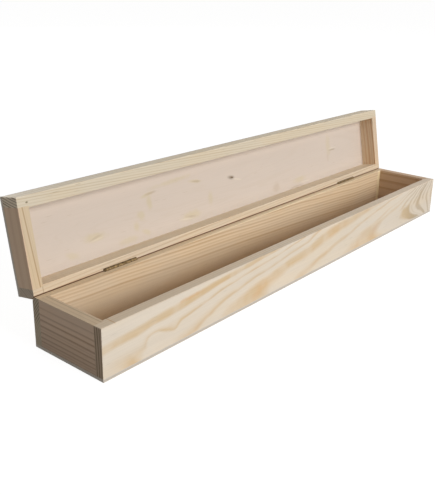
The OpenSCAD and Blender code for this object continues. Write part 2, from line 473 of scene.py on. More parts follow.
def closedCoordinates(tree, nodeName, across=False):
    # object coordinates with the lid shut; across turns them so that X runs along an end board
    place = addNode(tree, "ShaderNodeTexCoord").outputs["Object"]
    if bodyOf(nodeName) == "lid":
        place = addNode(tree, "ShaderNodeMapping", {
            "Vector": place, "Rotation": (openAngle, 0, 0),
            "Location": closingMatrix(nodeName).translation}).outputs[0]
    if across:
        place = addNode(tree, "ShaderNodeMapping", {
            "Vector": place, "Rotation": (0, 0, math.radians(-90))}).outputs[0]
    return place


def boundsOf(points):
    low, high = (Vector(end(p[n] for p in points) for n in range(3)) for end in (min, max))
    return low, high


def closedBox(*nodeNames):
    # the box round some nodes with the lid shut
    return boundsOf([closingMatrix(name) @ v.co for name in nodeNames
                     for v in frame["nodes"][name].data.vertices])


def faceOf(name, side):
    # a flat face of a board as (axis, place), in the coordinates that its material reads
    low, high = closedBox(name)
    if side == "rim":
        return 2, high.z if bodyOf(name) == "base" else low.z
    return 1, -low.x if side == "left" else low.y


def nearFace(tree, place, axis, value, skin=(0.0003, 0.0015)):
    # 1 on one flat face of a board, falling to 0 just under it
    depth = mathNode(tree, "ABSOLUTE", minus(tree, splitXYZ(tree, place)[axis], value))
    return smoothStep(tree, depth, *skin, 1.0, 0.0)


def useMark(tree, flat, spec):
    mask = useGroup(tree, markGroup, {
        "Vector": flat, "Centre": (*spec["at"], 0), "Half Size": (*spec["half"], 1),
        "Turn": -math.radians(spec.get("turn", 0)), "Ragged": spec.get("ragged", 0.7),
        "Sharp": spec.get("sharp", 0.2)})["Mask"]
    return times(tree, mask, spec["strength"])


frontYears = {
    # where each year crosses three lines along the front, as (year, metres from the middle)
    "heights": (0.058, 0.030, 0.006),
    "top": [(-4, -0.500), (-2, -0.350), (-1, -0.245), (0, -0.122), (1, -0.035), (2, 0.002), (3, 0.132),
            (4, 0.238), (5, 0.292), (6, 0.320), (7, 0.345), (8, 0.366), (9, 0.392)],
    "middle": [(-0.5, -0.540), (0, -0.430), (1, -0.250), (2, -0.167), (3, -0.064), (4, 0.074), (5, 0.180),
               (6, 0.271), (7, 0.319), (8, 0.351), (9, 0.382)],
    "bottom": [(0, -0.530), (1, -0.337), (2, -0.245), (3, -0.146), (4, -0.028), (5, 0.150), (6, 0.302),
               (7, 0.343), (8, 0.366), (9, 0.392)],
    "span": (-0.56, 0.40), "years": (-4.0, 10.0),
    # latewood through the years, from none to full: on the left, and on the right low and high up
    "late": [(-0.60, 0.0), (-0.28, 0.85), (0.10, 0.95), (0.34, 0.05), (0.66, 0.05), (0.85, 0.35), (1.0, 0.95),
             (1.13, 0.08), (1.60, 0.05), (1.83, 0.35), (2.0, 0.9), (2.15, 0.06), (2.45, 0.05), (2.75, 0.8),
             (3.14, 0.9), (3.45, 0.08), (3.82, 0.1), (4.0, 0.8), (4.14, 0.05), (4.3, 0.0)],
    "lateLow": [(4.4, 0.0), (4.55, 0.0), (4.8, 0.6), (5.1, 0.75), (5.28, 0.0), (5.78, 0.1), (5.93, 0.95),
                (6.25, 1.0), (6.4, 0.1), (6.5, 0.35), (6.6, 0.1), (6.8, 0.1), (6.95, 0.7), (7.13, 0.75),
                (7.27, 0.08), (7.82, 0.1), (7.97, 0.8), (8.12, 0.1), (8.42, 0.1), (8.55, 0.7), (8.68, 0.1),
                (9.0, 0.0)],
    "lateHigh": [(4.4, 0.0), (4.75, 0.0), (4.88, 0.5), (5.02, 0.05), (5.12, 0.1), (5.26, 0.85), (5.40, 0.05),
                 (5.60, 0.05), (5.75, 0.8), (5.92, 0.05), (6.06, 0.05), (6.22, 0.85), (6.38, 0.05),
                 (6.52, 0.05), (6.67, 0.8), (6.80, 0.1), (6.94, 0.9), (7.13, 0.95), (7.27, 0.08), (7.42, 0.1),
                 (7.55, 0.6), (7.68, 0.1), (7.84, 0.1), (7.98, 0.85), (8.12, 0.1), (8.42, 0.1), (8.55, 0.7),
                 (8.68, 0.05), (9.0, 0.0)],
    "high": (0.027, 0.036),          # between these heights the low form gives way to the high one
    "wander": (0.022, 0.0, 0.006), "waves": 22.0,  # how far the years stray, and how often
    "blotches": 34.0, "blotchTone": (0.34, 0.6, 0.6, 1.0),
    "bumps": [
        {"at": (-0.304, 0.026), "half": (0.022, 0.016), "ragged": 0.0, "sharp": 0.0, "strength": 0.42},
        {"at": (-0.272, 0.022), "half": (0.014, 0.012), "ragged": 0.0, "sharp": 0.0, "strength": -0.22}],
    "perDepth": 290.0, "slant": 0.15,  # under the face: years per metre, and the share kept of the face's own
}


def yearCurve(tree, share, points):
    (left, right), (low, high) = frontYears["span"], frontYears["years"]
    curve = addNode(tree, "ShaderNodeFloatCurve", {"Value": share})
    spots = curve.mapping.curves[0].points
    for number, (year, where) in enumerate(points):
        x, y = (where - left) / (right - left), (year - low) / (high - low)
        if number < 2:
            spots[number].location = (x, y)
        else:
            spots.new(x, y)
    curve.mapping.update()
    return timesPlus(tree, curve.outputs[0], high - low, low)


def frontRings(tree, place):
    # the year count over the front, bent through its values on three lines
    wave = noise(tree, {"Vector": place}, frontYears["waves"], 2.0)["Color"]
    centred = vectorNode(tree, "SUBTRACT", wave, (0.5, 0.5, 0.5))
    bent = vectorNode(tree, "ADD", place, vectorNode(tree, "MULTIPLY", centred, frontYears["wander"]))
    x, y, z = splitXYZ(tree, bent)[:3]
    share = mapRange(tree, x, *frontYears["span"])
    heights = frontYears["heights"]
    years = 0.0
    for number, line in enumerate(("top", "middle", "bottom")):
        one, other = (h for h in heights if h != heights[number])
        weight = times(tree, minus(tree, z, one), minus(tree, z, other))
        scale = 1 / ((heights[number] - one) * (heights[number] - other))
        weight = times(tree, weight, scale)
        curve = yearCurve(tree, share, frontYears[line])
        years = timesPlus(tree, curve, weight, years)
    for bump in frontYears["bumps"]:
        years = plus(tree, years, useMark(tree, joinXYZ(tree, x, z), bump))
    return years, z


def frontLatewood(tree, place, years, z):
    # near the right end the wide bands thin out upwards into fine lines
    low, high = (toneRamp(tree, years, frontYears[name]) for name in ("lateLow", "lateHigh"))
    share = smoothStep(tree, z, *frontYears["high"])
    right = mixNumber(tree, share, low, high)
    late = mathNode(tree, "MAXIMUM", toneRamp(tree, years, frontYears["late"]), right)
    blotches = noise(tree, {"Vector": place}, frontYears["blotches"], 2.0)["Fac"]
    return times(tree, late, smoothStep(tree, blotches, *frontYears["blotchTone"]))


boards = {
    # early and late wood, sawn ends, then the heart of the tree, its lean and the width of a year;
    # a tone is the axis that it changes along, two places there and how light the board is at each, and on
    # all boards but the base front it is painted light or shade;
    # bands are (place, half width, depth of tone) across one face, and marks are small spots on one, a few of
    # them painted light or shade
    "base_front": {
        "early": (226, 213, 195), "late": (211, 184, 144), "ends": (181, 159, 135), "contrast": 1.0,
        "seed": 1.0, "rise": 0.45, "uneven": 0.3, "endContrast": 1.8,
        "farLate": (182, 162, 132), "farFrom": (0.240, 0.325),
        "tone": (0, -0.12, 0.30, 1.04, 0.965),
        "marks": {
            "front": [
                {"at": (-0.246, 0.0500), "half": (0.032, 0.0042), "turn": 2,
                 "tone": (212, 166, 108), "strength": 0.6, "sharp": 0.0},
                {"at": (-0.125, 0.0145), "half": (0.022, 0.0075), "turn": 28,
                 "tone": (216, 174, 128), "strength": 0.4, "sharp": 0.0},
                {"at": (0.170, 0.0200), "half": (0.024, 0.0110), "turn": 20,
                 "tone": (204, 164, 122), "strength": 0.35, "sharp": 0.0}],
            "rim": [
                {"at": (-0.375, -0.0485), "half": (0.340, 0.060),
                 "tone": (212, 193, 168), "strength": 0.7, "ragged": 0.1},
                {"at": (0.375, -0.0485), "half": (0.400, 0.060),
                 "tone": (240, 221, 198), "strength": 0.7, "ragged": 0.1},
                {"at": (-0.3573, -0.0485), "half": (0.0009, 0.0085),
                 "tone": (196, 160, 116), "strength": 0.8, "ragged": 0.2}]}},
    "base_back": {
        "early": (221, 199, 169), "late": (190, 160, 124), "ends": (186, 172, 149), "contrast": 0.82,
        "seed": 2.3, "heart": (0, -0.110, -0.080), "year": 0.0027, "wander": 0.0025, "rise": 0.50,
        "uneven": 0.4, "endContrast": 1.7, "endCalm": (0.026, 0.040),
        # painted light: the board is lighter low down, where the inside of the box lies in shade
        "tone": (2, 0.026, 0.052, 1.06, 1.0),
        "bands": {"front": {"slope": 0.048, "wobble": 0.009, "waves": 6.0, "lines": [
            (0.0200, 0.0020, 0.3), (0.0245, 0.0020, 0.4), (0.0286, 0.0024, 1.0), (0.0338, 0.0020, 0.6),
            (0.0380, 0.0021, 0.8), (0.0420, 0.0019, 0.6), (0.0466, 0.0023, 0.95), (0.0513, 0.0023, 0.95),
            (0.0560, 0.0020, 0.55), (0.0601, 0.0024, 1.0), (0.0652, 0.0020, 0.6), (0.0698, 0.0023, 0.9),
            (0.0745, 0.0022, 0.6)]}},
        "marks": {
            "front": [
                # painted shade: a darker, warmer brown low on the inner face, where the front board shades it
                {"at": (0, 0.001), "half": (0.750, 0.034),
                 "tone": (172, 134, 94), "strength": 0.6, "ragged": 0.1, "sharp": 0.0},
                {"at": (0.3580, 0.030), "half": (0.0060, 0.060),
                 "tone": (234, 214, 172), "strength": 0.8, "ragged": 0.1, "sharp": 0.75}],
            # painted light: the rim is lighter towards its inner edge, where light thrown back by the open
            # lid falls
            "rim": [{"at": (0.090, 0.0425), "half": (0.400, 0.0075),
                     "tone": (250, 232, 200), "strength": 0.8, "ragged": 0.1, "sharp": 0.1}]}},
    "base_left_end": {
        "early": (216, 188, 162), "late": (158, 128, 102), "contrast": 1.0, "seed": 3.15, "across": True,
        "heart": (0, 0.430, 0.020), "year": 0.0046, "wander": 0.003, "rise": 0.45, "uneven": 0.3,
        # painted shade: the board is darker towards the bottom
        "tone": (2, 0.004, 0.046, 0.78, 1.0),
        "bands": {"left": {"wobble": 0.0025, "lines": [
            (0.0045, 0.0016, 0.6), (0.0080, 0.0013, 0.45), (0.0113, 0.0016, 0.9), (0.0160, 0.0017, 0.9),
            (0.0218, 0.0018, 0.9), (0.0255, 0.0012, 0.4), (0.0293, 0.0022, 0.95), (0.0366, 0.0022, 1.0),
            (0.0428, 0.0020, 0.8), (0.0507, 0.0018, 0.5)]}},
        "marks": {"rim": [{"at": (0, 0.3685), "half": (0.090, 0.030), "sharp": 0.95,
                           "tone": (206, 192, 158), "strength": 0.4}]}},
    "base_right_end": {
        "early": (213, 184, 154), "late": (179, 142, 108), "contrast": 0.8, "seed": 4.7, "across": True,
        "heart": (0, -0.49, -0.01), "year": 0.0045, "rise": 0.45},
    "lid_front_rail": {
        "early": (216, 203, 180), "late": (190, 170, 138), "ends": (235, 219, 195), "contrast": 0.8,
        "seed": 5.2, "heart": (0, -0.190, 0.024), "lean": (0, -0.05, 0), "year": 0.0030,
        "wander": 0.0016, "rise": 0.45, "uneven": 0.4, "endContrast": 2.0,
        # painted light: the outer face, which faces up on the open lid, is lighter
        "tone": (1, -0.0549, -0.0535, 1.18, 1.0),
        "marks": {"rim": [
            {"at": (-0.3635, -0.0478), "half": (0.0023, 0.0014),
             "tone": (112, 98, 64), "strength": 0.9, "ragged": 0.4},
            {"at": (-0.3270, -0.0510), "half": (0.0075, 0.0006), "tone": (150, 132, 100), "strength": 0.5},
            {"at": (-0.2960, -0.0535), "half": (0.0060, 0.0005), "tone": (150, 132, 100), "strength": 0.5}]}},
    "lid_back_rail": {
        "early": (215, 197, 172), "late": (188, 161, 129), "ends": (200, 184, 164), "contrast": 0.7,
        "seed": 6.4, "heart": (0, 0.30, 0.30), "lean": (0, 0.02, 0.01), "year": 0.0032,
        "wander": 0.004, "rise": 0.45, "endContrast": 0.6,
        # painted light: the inner face, which faces up in the corner by the panel of the open lid, is lighter
        "tone": (1, 0.0421, 0.0436, 1.19, 0.98),
        "marks": {
            "front": [{"at": (0, 0.0725), "half": (0.900, 0.060),
                       "tone": (208, 200, 180), "strength": 0.25, "ragged": 0.1}],
            "rim": [{"at": (-0.3626, 0.0470), "half": (0.0006, 0.0095),
                     "tone": (158, 132, 98), "strength": 0.8, "ragged": 0.1}]}},
    "lid_left_end": {
        "early": (210, 189, 158), "late": (168, 139, 104), "contrast": 0.9, "seed": 7.9, "across": True,
        "heart": (0, 0.46, 0.05), "year": 0.0055, "rise": 0.6,
        # painted light: the outer face, on the shaded left side, is lighter
        "tone": (1, 0.3735, 0.3749, 1.0, 1.21),
        "marks": {"left": [{"at": (0, 0.075), "half": (0.090, 0.030), "sharp": 0.95,
                            "tone": (204, 168, 148), "strength": 0.4}]},
        "bands": {
            "left": {"wobble": 0.003, "lines": [
                (0.0640, 0.0045, 0.50), (0.0772, 0.0045, 0.45), (0.0857, 0.0020, 0.4)]},
            "rim": {"slope": 0.054, "wobble": 0.0006, "lines": [
                (0.36490, 0.0007, 0.2), (0.36755, 0.0013, 1.0), (0.37250, 0.0009, 0.25)]}}},
    "lid_right_end": {
        "early": (218, 197, 170), "late": (188, 145, 99), "contrast": 0.9, "seed": 8.6, "across": True,
        "heart": (0, -0.46, 0.05), "year": 0.0042, "rise": 0.5,
        # painted light: the inner face, turned away from the lamps, is lighter, and the rest of the board a
        # little darker
        "tone": (1, -0.3636, -0.3622, 0.97, 1.22),
        "bands": {"left": {"slope": 0.03, "wobble": 0.003, "lines": [
            (0.0636, 0.0028, 0.9), (0.0682, 0.0018, 0.5), (0.0734, 0.0034, 0.8), (0.0800, 0.0024, 0.65)]}}},
}
linesPerRamp = 10  # a colour ramp holds 32 stops, and each line takes three


def bandMask(tree, place, axis, spec):
    # dark lines at set places across one face, a little wavy along it
    wave = noise(tree, {"Vector": place}, spec.get("waves", 9.0), 1.0)["Fac"]
    parts = splitXYZ(tree, place)
    where = timesPlus(tree, parts[0], spec.get("slope", 0.0), parts[axis])
    where = timesPlus(tree, minus(tree, wave, 0.5), spec["wobble"], where)
    lines = spec["lines"]
    size = math.ceil(len(lines) / math.ceil(len(lines) / linesPerRamp))
    mask = 0.0
    for first in range(0, len(lines), size):
        stops = []
        for middle, half, amount in lines[first:first + size]:
            stops += [(middle - half, 0.0), (middle, amount), (middle + half * 0.75, 0.0)]
        mask = plus(tree, toneRamp(tree, where, stops), mask)
    return mask


def ownGrain(tree, name, place, spec):
    # the faces that have years of their own: how dark they are, and how much of the board they rule
    if name == "base_front":
        years, z = frontRings(tree, place)
        share = nearFace(tree, place, *faceOf(name, "front"))
        return frontLatewood(tree, place, years, z), share, years
    mask, share = 0.0, 0.0
    for side, band in spec.get("bands", {}).items():
        here = nearFace(tree, place, *faceOf(name, side))
        axis = 1 if side == "rim" else 2  # the bands lie one behind another on a rim, or one over another
        mask = timesPlus(tree, bandMask(tree, place, axis, band), here, mask)
        share = mathNode(tree, "MAXIMUM", here, share)
    return mask, share, None


def boardRings(tree, place, spec, years):
    if years is None:
        return useGroup(tree, ringGroup, {
            "Vector": place, "Heart": spec["heart"], "Lean": spec.get("lean", (0, 0, 0)),
            "Year": spec["year"], "Wander": spec.get("wander", 0.004), "Seed": spec["seed"]})["Rings"]
    depth = minus(tree, splitXYZ(tree, place)[1], faceOf("base_front", "front")[1])
    return timesPlus(tree, depth, frontYears["perDepth"], times(tree, years, frontYears["slant"]))


def lateWood(tree, place, spec):
    if "farLate" not in spec:
        return srgb(*spec["late"])
    share = smoothStep(tree, splitXYZ(tree, place)[0], *spec["farFrom"])
    return mixColour(tree, share, srgb(*spec["late"]), srgb(*spec["farLate"]))


seam = {
    "gap": 0.0009, "edge": 0.0006,  # between the bevels of the open lid, and how deep the dark edge goes
    # painted shade along the seam: its colour and how strong it is
    "burnt": (114, 67, 30), "strength": 0.9,
    "fades": (0.0022, 0.0050), "outside": 0.25,  # the distances from the pivot between which it pales
}


def bevelFacing(nodeName):
    # the way the bevel behind the pivot faces with the lid shut
    side = 1 if bodyOf(nodeName) == "base" else -1
    return Vector((0, math.sin(openAngle / 2), side * math.cos(openAngle / 2)))


def seamPaintedShade(tree, name, place):
    # painted shade: the bevels are darkened, most of all near the pivot, and the edge of the rim next to
    # them, where the seam of the open lid lies in shadow
    offset = vectorNode(tree, "MULTIPLY", vectorNode(tree, "SUBTRACT", place, pivot), (0, 1, 1))
    height = vectorNode(tree, "DOT_PRODUCT", offset, bevelFacing(name), output="Value")
    surface = -seam["gap"] / 2
    paintedSeamShade = smoothStep(tree, height, surface - seam["edge"], surface - 0.0001, 0.0, seam["strength"])
    away = vectorNode(tree, "LENGTH", offset, output="Value")
    return times(tree, paintedSeamShade, smoothStep(tree, away, *seam["fades"], 1.0, seam["outside"]))


def boardMarksAndPaintedLight(tree, name, place, spec):
    # the marks on the board's faces, and the painted light and shade among them
    x, y, z = splitXYZ(tree, place)[:3]
    markOrPaintedLight, tone = 0.0, srgb(*spec["late"])
    for side, marks in spec.get("marks", {}).items():
        here = nearFace(tree, place, *faceOf(name, side))
        flat = joinXYZ(tree, x, y if side == "rim" else z)
        for item in marks:
            mask = times(tree, useMark(tree, flat, item), here)
            tone = mixColour(tree, mathNode(tree, "GREATER_THAN", mask, 0.001), tone, srgb(*item["tone"]))
            markOrPaintedLight = mathNode(tree, "MAXIMUM", markOrPaintedLight, mask)
    # painted shade along the seam of the open lid
    if "back" in name:
        paintedSeamShade = seamPaintedShade(tree, name, place)
        tone = mixColour(tree, paintedSeamShade, tone, srgb(*seam["burnt"]))
        markOrPaintedLight = mathNode(tree, "MAXIMUM", markOrPaintedLight, paintedSeamShade)
    return markOrPaintedLight, tone


def endGrain(tree, place, spec):
    # the sawn ends of the long boards face along X; their years may fade out downwards
    contrast = spec["endContrast"]
    if "endCalm" in spec:
        height = splitXYZ(tree, place)[2]
        contrast = smoothStep(tree, height, *spec["endCalm"], contrast * planed["calm"], contrast)
    return {"End Grain": facingAlong(tree, *planed["endFacing"]), "End Colour": srgb(*spec["ends"]),
            "End Contrast": contrast}


def makeBoardMaterial(name):
    spec = boards[name]
    across = spec.get("across", False)
    material, tree, shader = newMaterial("pine_" + name)
    place = closedCoordinates(tree, name, across)
    mask, share, years = ownGrain(tree, name, place, spec)
    markOrPaintedLight, markOrPaintedTone = boardMarksAndPaintedLight(tree, name, place, spec)
    values = {"Vector": place, "Seed": spec["seed"], "Contrast": spec["contrast"], "Rise": spec["rise"],
              "Uneven": spec.get("uneven", 0.5), "Early Wood": srgb(*spec["early"]),
              "Late Wood": lateWood(tree, place, spec), "Own Mask": mask, "Own Share": share,
              "Rings": boardRings(tree, place, spec, years), "Mark": markOrPaintedLight, "Mark Colour": markOrPaintedTone}
    # painted light or shade on most boards, as their tone
    if "tone" in spec:
        axis, *change = spec["tone"]
        values["Tone"] = smoothStep(tree, splitXYZ(tree, place)[axis], *change)
    if not across:
        values.update(endGrain(tree, place, spec))
    pine = useGroup(tree, pineGroup, values)
    finishShader(tree, shader, pine["Color"], pine["Roughness"], pine["Height"], planed["bump"])
    shader.inputs["Specular IOR Level"].default_value = planed["specular"]
    return material


arris = {
    "widest": 0.0020, "segments": 4,
    # how far each kind of edge is rounded, as a share of the widest
    "seam": 0.15, "outer": 0.25, "rim": 0.16, "joint": 0.045, "softRim": {"base_back": 0.6},
    "sharperThan": 25,    # degrees between the faces of an edge that is rounded at all
    "shortest": 0.008,    # shorter edges stay as they are
    "seamReach": 0.0012,  # edges this near to the pivot belong to the seam
    "touch": 0.0003,      # and this near to a plane they lie on it
}
merging = {"distance": 2e-6, "flatWithin": 0.6}  # metres, and degrees
outerBounds = {
    "base": closedBox("base_front", "base_back", "base_bottom"),
    "lid": closedBox("lid_front_rail", "lid_back_rail", "lid_panel"),
}


def arrisShare(nodeName, a, b):
    # edges on two outer planes are eased most, inner rim edges less, and glued joints hardly at all
    middle = (a + b) / 2
    fromPivot = (middle - pivot).yz.length
    lengthways = abs((a - b).normalized().x) > 0.9
    if "back" in nodeName and lengthways and fromPivot < arris["seamReach"]:
        return arris["seam"]
    low, high = outerBounds[bodyOf(nodeName)]
    planes = sum(min(abs(value - one), abs(value - other)) < arris["touch"]
                 for value, one, other in zip(middle, low, high))
    if planes >= 2:
        return arris["outer"]
    onRim = abs(middle.z - pivot.z) < arris["touch"] * 2
    if onRim and planes == 0:
        return arris["softRim"].get(nodeName, arris["rim"])
    return arris["joint"]


def mergedMesh(nodeName):
    work = bmesh.new()
    work.from_mesh(frame["nodes"][nodeName].data)
    bmesh.ops.remove_doubles(work, verts=work.verts, dist=merging["distance"])
    return work


def cleanCopy(nodeName, pieceName):
    # the solid's own mesh, with its flat faces made whole, as a new piece
    work = mergedMesh(nodeName)
    flat = math.radians(merging["flatWithin"])
    bmesh.ops.dissolve_limit(work, angle_limit=flat, verts=work.verts, edges=work.edges)
    mesh = bpy.data.meshes.new(pieceName)
    work.to_mesh(mesh)
    work.free()
    return newObject(pieceName, mesh)


def openSeam(piece, nodeName):
    # the bevels behind the pivot are planed back a little, so the seam of the open lid shows dark
    closing = closingMatrix(nodeName)
    opening = closing.inverted()
    facing = bevelFacing(nodeName)
    work = bmesh.new()
    work.from_mesh(piece.data)
    bmesh.ops.bisect_plane(
        work, geom=work.verts[:] + work.edges[:] + work.faces[:], clear_outer=True,
        plane_co=opening @ (pivot - facing * seam["gap"] / 2), plane_no=opening.to_3x3() @ facing)
    bmesh.ops.holes_fill(work, edges=[edge for edge in work.edges if edge.is_boundary])
    bmesh.ops.recalc_face_normals(work, faces=work.faces)
    work.to_mesh(piece.data)
    work.free()


def roundArrises(piece, nodeName):
    # the rounding of each edge is chosen from where it lies with the lid shut
    closing = closingMatrix(nodeName)
    work = bmesh.new()
    work.from_mesh(piece.data)
    weight = work.edges.layers.float.new("bevel_weight_edge")
    for edge in work.edges:
        if len(edge.link_faces) != 2 or edge.calc_length() < arris["shortest"]:
            continue
        if edge.calc_face_angle() > math.radians(arris["sharperThan"]) and edge.is_convex:
            a, b = (closing @ v.co for v in edge.verts)
            edge[weight] = arrisShare(nodeName, a, b)
    work.to_mesh(piece.data)
    work.free()
    bevel = piece.modifiers.new("arris", "BEVEL")
    bevel.limit_method = "WEIGHT"
    bevel.width = arris["widest"]
    bevel.segments = arris["segments"]
    bevel.use_clamp_overlap = False


def dress(piece, material, slot, *nodeNames):
    # one finish on the piece, which then stands for its solids
    piece.data.materials.clear()
    piece.data.materials.append(material)
    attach(piece, bodyOf(nodeNames[0]))
    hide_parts(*nodeNames)


def makeBoards():
    for name in boards:
        piece = cleanCopy(name, camelName(name) + "Board")
        if "back" in name:
            openSeam(piece, name)
        roundArrises(piece, name)
        slot = "pine_warm" if name in ("base_back", "lid_right_end") else "pine"
        dress(piece, makeBoardMaterial(name), slot, name)


makeBoards()
print("boards made")


plywood = {
    "plies": 3, "face": (213, 199, 186), "figure": (203, 186, 166), "pore": (184, 164, 138),
    "outerFace": (226, 209, 180), "outerFigure": (211, 188, 150),
    "stretch": (2.2, 26, 26), "figureLines": 34.0, "poreDepth": 0.35,
    "figureDepth": 0.16, "outerTimes": 3,  # how strong the figure is inside, and how much more outside
    "edgeFace": (214, 205, 193), "edgeCore": (196, 186, 172), "glue": (150, 132, 112),
    "coreStreaks": 0.35, "glueDepth": 0.8, "glueSunk": 2.0, "edgeFacing": (0.4, 0.8), "skin": 0.00025,
    # painted light: the panel's margin by the front rail is a little lighter, where the rail shades it;
    # painted shade: the one by the back rail is a little darker
    "paintedLightMargin": (-0.037, -0.020, 1.08, 1.0), "paintedShadeMargin": (0.030, 0.040, 1.0, 0.93),
    "seeds": {"base_bottom": 17.0, "lid_panel": 11.0},
    "shades": (("Patches", 0.06, 0.97), ("Streaks", 0.08, 0.96)), "roughness": 0.5, "streakRoughness": 0.14,
    "bump": {"Strength": 0.3, "Distance": 0.00012}, "specular": 0.35,
}
spotParts = ("at", "half", "turn", "strength", "ragged", "sharp")
panelStains = [
    # on the inner face of the panel, in metres from the middle and from the pivot line; the last spot
    # parts are given only where they aren't the usual ones
    {"tone": (206, 191, 154), "spots": [
        ((-0.128, 0.0745), (0.052, 0.0042), 3, 0.42), ((-0.174, 0.0665), (0.0170, 0.0034), 8, 0.60),
        ((-0.086, 0.0660), (0.0180, 0.0034), -9, 0.60), ((-0.173, 0.0560), (0.0070, 0.0130), 4, 0.55),
        ((-0.190, 0.0430), (0.0110, 0.0080), -18, 0.50), ((-0.199, 0.0310), (0.0070, 0.0090), 4, 0.50),
        ((-0.184, 0.0200), (0.0120, 0.0050), -22, 0.45), ((-0.265, 0.0340), (0.0250, 0.0080), -4, 0.55),
        ((-0.100, 0.0220), (0.0260, 0.0090), 2, 0.55), ((-0.059, 0.0370), (0.0080, 0.0130), -6, 0.40),
        ((-0.300, 0.0210), (0.0150, 0.0060), -18, 0.40), ((-0.215, 0.0170), (0.0220, 0.0060), 0, 0.40),
        ((0.158, 0.0210), (0.0240, 0.0070), 2, 0.45), ((0.250, 0.0620), (0.0100, 0.0260), 0, 0.38)]},
    {"tone": (184, 164, 140), "spots": [
        ((-0.168, 0.0672), (0.0150, 0.0022), 4, 0.55), ((-0.084, 0.0655), (0.0130, 0.0022), -8, 0.55),
        ((-0.100, 0.0205), (0.0150, 0.0024), -10, 0.45), ((-0.264, 0.0335), (0.0140, 0.0020), 12, 0.40),
        ((0.094, 0.0205), (0.0130, 0.0110), 8, 0.35), ((0.146, 0.0115), (0.0260, 0.0022), 1, 0.50),
        ((0.2610, 0.0530), (0.0150, 0.0017), -1, 0.9, 0.3), ((0.2460, 0.0420), (0.0040, 0.0110), 1, 0.20)]},
    {"tone": (228, 216, 198), "spots": [
        ((0.2610, 0.0560), (0.0150, 0.0014), -1, 0.6, 0.3),
        ((0.0020, 0.0520), (0.0150, 0.0018), -14, 0.55, 0.3),
        ((-0.110, 0.0190), (0.0170, 0.0018), -8, 0.5), ((-0.262, 0.0310), (0.0150, 0.0016), 6, 0.4),
        ((0.175, 0.0150), (0.0200, 0.0020), -2, 0.5)]},
    {"tone": (106, 86, 58), "spots": [  # the knot
        ((-0.0105, 0.0568), (0.0110, 0.0042), -11, 0.7, 0.3, 0.0),
        ((-0.0085, 0.0563), (0.0060, 0.0024), -11, 1.0, 0.2, 0.1)]},
]


def makePlyGroup():
    # the edge of the sheet: thin plies, every second one turned, with dark glue between
    tree, given, wanted = newGroup("plyLayers", {
        "Vector": (0, 0, 0), "Through": 0.0, "Plies": 3.0, "Turned": 0.0},
        {"Core": "Float", "Glue": "Float", "Streaks": "Float"})
    count = times(tree, given["Through"], given["Plies"])
    odd = mathNode(tree, "MODULO", mathNode(tree, "FLOOR", count), 2.0)
    core = mathNode(tree, "GREATER_THAN", odd, 0.5)
    turned = mathNode(tree, "ABSOLUTE", minus(tree, core, given["Turned"]))
    near = mathNode(tree, "ABSOLUTE", minus(tree, count, mathNode(tree, "ROUND", count)))
    line = smoothStep(tree, near, 0.0, 0.06, 1.0, 0.0)
    fine = vectorNode(tree, "MULTIPLY", given["Vector"], (240, 240, 2500))
    streaks = noise(tree, {"Vector": fine}, 1.0, 2.0)["Fac"]
    feedAll(tree, wanted, {"Core": turned, "Glue": line, "Streaks": streaks})
    return tree


plyGroup = makePlyGroup()


def veneerColour(tree, name, place, wood):
    # the face ply: long flat figure, fine pores, and on the panel its stains
    stretched = vectorNode(tree, "MULTIPLY", place, plywood["stretch"])
    wave = noise(tree, {"Vector": stretched, "Distortion": 0.6}, 1.0, 2.0)["Fac"]
    figure = noise(tree, {"W": times(tree, wave, plywood["figureLines"])}, 1.0, 1.0, "1D")["Fac"]
    x, y, z = splitXYZ(tree, place)[:3]
    low, high = closedBox(name)
    outward = "GREATER_THAN" if name == "lid_panel" else "LESS_THAN"
    outside = mathNode(tree, outward, z, (low.z + high.z) / 2)
    figured = smoothStep(tree, figure, 0.45, 0.75, 0.0, plywood["figureDepth"])
    figured = times(tree, figured, timesPlus(tree, outside, plywood["outerTimes"] - 1, 1.0))
    face = mixColour(tree, outside, srgb(*plywood["face"]), srgb(*plywood["outerFace"]))
    darker = mixColour(tree, outside, srgb(*plywood["figure"]), srgb(*plywood["outerFigure"]))
    veneer = mixColour(tree, figured, face, darker)
    pores = times(tree, wood["Canals"], plywood["poreDepth"])
    veneer = mixColour(tree, pores, veneer, srgb(*plywood["pore"]))
    if name == "lid_panel":
        flat = joinXYZ(tree, x, minus(tree, pivot.y, y))
        inside = minus(tree, 1.0, outside)
        for stain in panelStains:
            mask = 0.0
            for spot in stain["spots"]:
                mask = mathNode(tree, "MAXIMUM", mask, useMark(tree, flat, dict(zip(spotParts, spot))))
            veneer = mixColour(tree, times(tree, mask, inside), veneer, srgb(*stain["tone"]))
    return veneer


